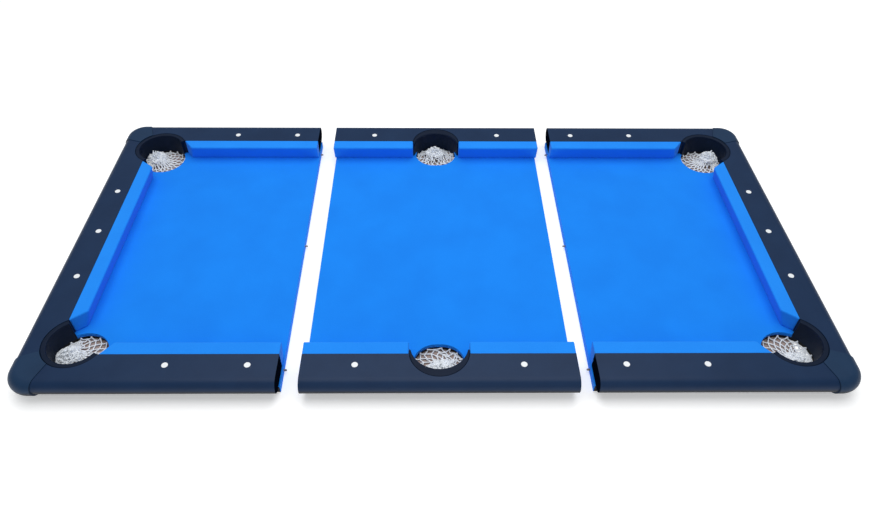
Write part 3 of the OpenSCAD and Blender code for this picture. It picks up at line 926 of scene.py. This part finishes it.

# %% [markdown]
# ## String finish
# Twisted white cotton: matt, with a ridge for each yarn that winds round the string about
# every four millimetres. The grooves between the yarns are a little darker: painted shade
# in the hollows.


# %% String finish
def twisted_string(name, colour, groove_shade, pitch_mm, yarns):
    material, tree, shader = new_material(name, colour, 0.8)
    shader.inputs["Specular IOR Level"].default_value = 0.3
    along = add(tree, "ShaderNodeAttribute", {"attribute_name": "along"})
    around = add(tree, "ShaderNodeAttribute", {"attribute_name": "around"})
    turns = add(
        tree, "ShaderNodeMath", {"operation": "MULTIPLY"}, i0=along.outputs["Fac"], i1=2 * math.pi / (pitch_mm * MM)
    )
    phase = add(
        tree,
        "ShaderNodeMath",
        {"operation": "MULTIPLY_ADD"},
        i0=around.outputs["Fac"],
        i1=2 * math.pi * yarns,
        i2=turns.outputs[0],
    )
    ridge = add(tree, "ShaderNodeMath", {"operation": "SINE"}, i0=phase.outputs[0])
    height = add(tree, "ShaderNodeMapRange", Value=ridge.outputs[0], From_Min=-1.0)
    place = add(tree, "ShaderNodeTexCoord").outputs["Object"]
    fuzz = add(tree, "ShaderNodeTexNoise", Vector=place, Scale=1200.0, Detail=3.0)
    rough_height = add(
        tree, "ShaderNodeMath", {"operation": "MULTIPLY_ADD"}, i0=fuzz.outputs["Fac"], i1=0.4, i2=height.outputs[0]
    )
    # The grooves take the darker colour: painted shade between the yarns.
    base = blend_colours(tree, height.outputs[0], groove_shade, colour)
    tree.links.new(base, shader.inputs["Base Color"])
    bump = add(tree, "ShaderNodeBump", Height=rough_height.outputs[0], Strength=0.5, Distance=0.4 * MM)
    tree.links.new(bump.outputs["Normal"], shader.inputs["Normal"])
    return material


string_finish = twisted_string("white_twisted_cotton_string", "#fbfdff", "#d6dee7", 4.0, 2)
print(string_finish.name)

# %% [markdown]
# Each net gets its own heap, given one by one: which way its end was pushed, and how high the
# mound under it is. The directions are given outwards from the table's middle, so they read
# the same at each corner.


# %% Nets
def make_string(name, points, chains, step_mm=2.6):
    """Makes a net's mesh of string from its points (mm) and chains."""
    edges = [pair for chain in chains for pair in zip(chain, chain[1:])]
    bare = make_object(name + "_links", points * MM, edges=edges)
    is_a_knot = bare.data.attributes.new("knot", "BOOLEAN", "POINT")
    is_a_knot.data.foreach_set("value", [i < LATTICE_SIZE for i in range(len(points))])
    modifier = bare.modifiers.new("string", "NODES")
    modifier.node_group = string_tree
    modifier[string_inputs["String Radius"]] = STRING_R * MM
    modifier[string_inputs["Knot Radius"]] = STRING_R * KNOT_SIZE * MM
    modifier[string_inputs["Step"]] = step_mm * MM
    modifier[string_inputs["Material"]] = string_finish
    evaluated = bare.evaluated_get(bpy.context.evaluated_depsgraph_get())
    mesh = bpy.data.meshes.new_from_object(evaluated)
    mesh.name = name
    bpy.data.objects.remove(bare)
    piece = bpy.data.objects.new(name, mesh)
    bpy.context.collection.objects.link(piece)
    return piece


RING_BELOW_CLOTH = 11.6
HEAPS = {
    ("left", "rear"): (25, 12, 29),
    ("middle", "rear"): (-2, 14, 26),
    ("right", "rear"): (25, 15, 31),
    ("left", "front"): (29, 0, 23),
    ("middle", "front"): (8, 10, 13),
    ("right", "front"): (22, 19, 13),
}
for seed, ((side, row), (out_x, out_y, heap_z)) in enumerate(HEAPS.items()):
    node = f"{side}_{row}_net" if side != "middle" else f"middle_{row}_net"
    centre = (low(node) + high(node)) / 2
    size = high(node) - low(node)
    radius = size.y / 2 / MM
    spread = (size.x - size.y) / 2 / MM
    heap = (out_x * (-1 if side == "left" else 1), out_y * ROWS[row])
    ring_z = cloth_top / MM - RING_BELOW_CLOTH
    points, chains = fold_net(radius, spread, ring_z, heap, heap_z, seed + 11)
    points += np.array([centre.x, centre.y, 0]) / MM
    net = make_string(f"{side}_{row}_string_net", points, chains)
    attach(net, SECTIONS[side])
    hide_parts(node)
    print(net.name, len(net.data.polygons), "faces, top at", round(points[:, 2].max(), 1), "mm")

# %% [markdown]
# ## Screws
# The rails and caps are held from underneath by countersunk wood screws. One screw is turned
# as rings of points, with a cross sunk in its head, and a Geometry Nodes tree sets a copy on
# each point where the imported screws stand, each turned to its own angle.

# %% One screw
SCREW_TURNS = 12
HEAD_R, SHANK_R, CORE_R = 3.9, 2.0, 1.45
THREAD_PITCH = 2.4
SCREW_LENGTH = high("left_screws").z / MM
screw_rings = [(1.1, 1.0), (HEAD_R - 0.1, 0), (HEAD_R, 0.25), (SHANK_R, 2.1), (SHANK_R, 9)]
height = 9.0
while height + THREAD_PITCH < SCREW_LENGTH - 4:
    screw_rings += [(CORE_R, height + 0.6), (CORE_R, height + 1.4), (SHANK_R, height + THREAD_PITCH)]
    height += THREAD_PITCH
screw_rings += [(CORE_R, SCREW_LENGTH - 4), (0.15, SCREW_LENGTH - 0.3)]
screw_points, screw_faces = [], []
for ring, (reach, z) in enumerate(screw_rings):
    for k in range(SCREW_TURNS):
        turn = 2 * math.pi * k / SCREW_TURNS
        cross = ring == 0 and k % 3 == 0
        far = 2.6 if cross else reach
        screw_points.append((far * math.cos(turn) * MM, far * math.sin(turn) * MM, z * MM))
for ring in range(len(screw_rings) - 1):
    for k in range(SCREW_TURNS):
        a, b = ring * SCREW_TURNS + k, ring * SCREW_TURNS + (k + 1) % SCREW_TURNS
        screw_faces.append((a, b, b + SCREW_TURNS, a + SCREW_TURNS))
screw_faces.append(tuple(reversed(range(SCREW_TURNS))))
screw_faces.append(tuple(range((len(screw_rings) - 1) * SCREW_TURNS, len(screw_rings) * SCREW_TURNS)))
screw_pattern = make_object("screw_pattern", screw_points, screw_faces, smooth=False)
shape = bmesh.new()
shape.from_mesh(screw_pattern.data)
bmesh.ops.recalc_face_normals(shape, faces=shape.faces)
shape.to_mesh(screw_pattern.data)
shape.free()
print("screw is", round(SCREW_LENGTH, 1), "mm long with", len(screw_faces), "faces")

# %% Tree for the screws
screw_tree = bpy.data.node_groups.new("screws_on_points", "GeometryNodeTree")
screw_inputs = {}
screw_tree.interface.new_socket("Geometry", in_out="INPUT", socket_type="NodeSocketGeometry")
for label, kind in (("Screw", "Object"), ("Material", "Material")):
    screw_inputs[label] = screw_tree.interface.new_socket(
        label, in_out="INPUT", socket_type="NodeSocket" + kind
    ).identifier
screw_tree.interface.new_socket("Geometry", in_out="OUTPUT", socket_type="NodeSocketGeometry")
given = add(screw_tree, "NodeGroupInput")
one = add(screw_tree, "GeometryNodeObjectInfo", Object=given.outputs["Screw"])
turned = add(
    screw_tree, "FunctionNodeRandomValue", {"data_type": "FLOAT_VECTOR"}, i0=(0, 0, 0), i1=(0, 0, 6.3), Seed=9
)
placed = add(
    screw_tree,
    "GeometryNodeInstanceOnPoints",
    Points=given.outputs["Geometry"],
    Instance=one.outputs["Geometry"],
    Rotation=turned.outputs[0],
)
real = add(screw_tree, "GeometryNodeRealizeInstances", Geometry=placed.outputs[0])
dressed = add(
    screw_tree, "GeometryNodeSetMaterial", Geometry=real.outputs[0], Material=given.outputs["Material"]
)
add(screw_tree, "NodeGroupOutput", Geometry=dressed.outputs[0])
print("screw tree has", len(screw_tree.nodes), "nodes")


# %% Screws
def screw_places(node):
    """The middle of each separate screw of a node, on the floor."""
    corners = np.array([v.co[:2] for v in nodes[node].data.vertices])
    places = []
    while len(corners):
        here = np.linalg.norm(corners - corners[0], axis=1) < 10 * MM
        places.append((*(corners[here].min(0) + corners[here].max(0)) / 2, 0))
        corners = corners[~here]
    return places


for side in SECTIONS:
    node = side + "_screws"
    places = screw_places(node)
    spots = make_object(node + "_places", places)
    modifier = spots.modifiers.new("screws", "NODES")
    modifier.node_group = screw_tree
    modifier[screw_inputs["Screw"]] = screw_pattern
    modifier[screw_inputs["Material"]] = screw_finish
    evaluated = spots.evaluated_get(bpy.context.evaluated_depsgraph_get())
    mesh = bpy.data.meshes.new_from_object(evaluated)
    bpy.data.objects.remove(spots)
    screws = bpy.data.objects.new(side + "_wood_screws", mesh)
    bpy.context.collection.objects.link(screws)
    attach(screws, SECTIONS[side])
    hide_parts(node)
    print(screws.name, len(places), "screws")
bpy.data.objects.remove(screw_pattern)
